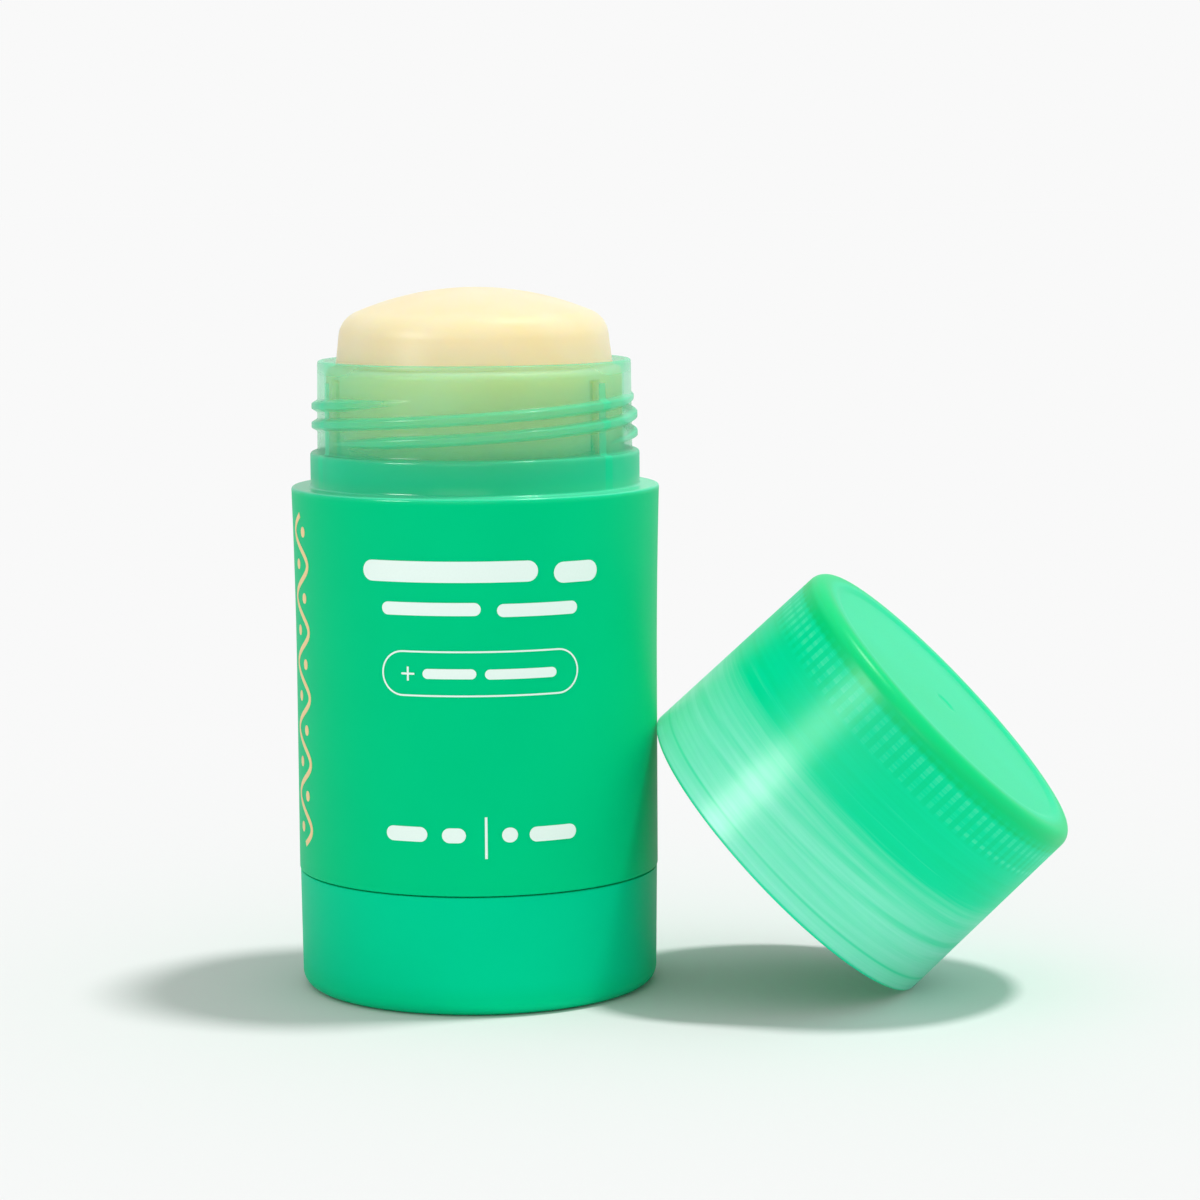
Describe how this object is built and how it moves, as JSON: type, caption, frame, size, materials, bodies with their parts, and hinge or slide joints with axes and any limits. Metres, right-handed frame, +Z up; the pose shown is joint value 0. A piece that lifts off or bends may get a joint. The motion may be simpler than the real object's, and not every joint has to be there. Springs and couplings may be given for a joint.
{
  "type": "twist-up serum stick",
  "caption": "Twist-up stick in a round green barrel: a base dial turns a lift screw that raises the domed stick of serum, with a screw cap standing off beside it.",
  "frame": {"origin": "centre of the base dial's foot, on the surface that the stick stands on", "axes": "+Z up the barrel's axis, -Y the printed front, +X towards the cap that stands off"},
  "size_m": [0.08, 0.044, 0.0724],
  "materials": {
    "barrel_plastic": "satin, slightly translucent moulded green",
    "dial_plastic": "satin, slightly translucent moulded green",
    "screw_plastic": "moulded green, hidden inside the barrel",
    "elevator_plastic": "natural white, hidden inside the barrel",
    "serum": "smooth cream wax with a soft sheen",
    "cap_plastic": "satin, translucent moulded green"
  },
  "bodies": {
    "barrel": {"barrel": "barrel_plastic", "cap": "cap_plastic"},
    "dial": {"base_dial": "dial_plastic", "lift_screw": "screw_plastic"},
    "lift": {"elevator": "elevator_plastic", "serum_stick": "serum"}
  },
  "joints": [
    {"name": "dial_spin", "type": "hinge", "parent": "barrel", "child": "dial", "pos_m": [0, 0, 0], "axis": [0, 0, 1], "range_deg": [-2520, 0]},
    {"name": "lift_slide", "type": "slide", "parent": "barrel", "child": "lift", "axis": [0, 0, 1], "range_m": [0, 0.042]}
  ],
  "couplings": [
    {"joint": "dial_spin", "follows": "lift_slide", "rad_per_m": -1047.2}
  ]
}
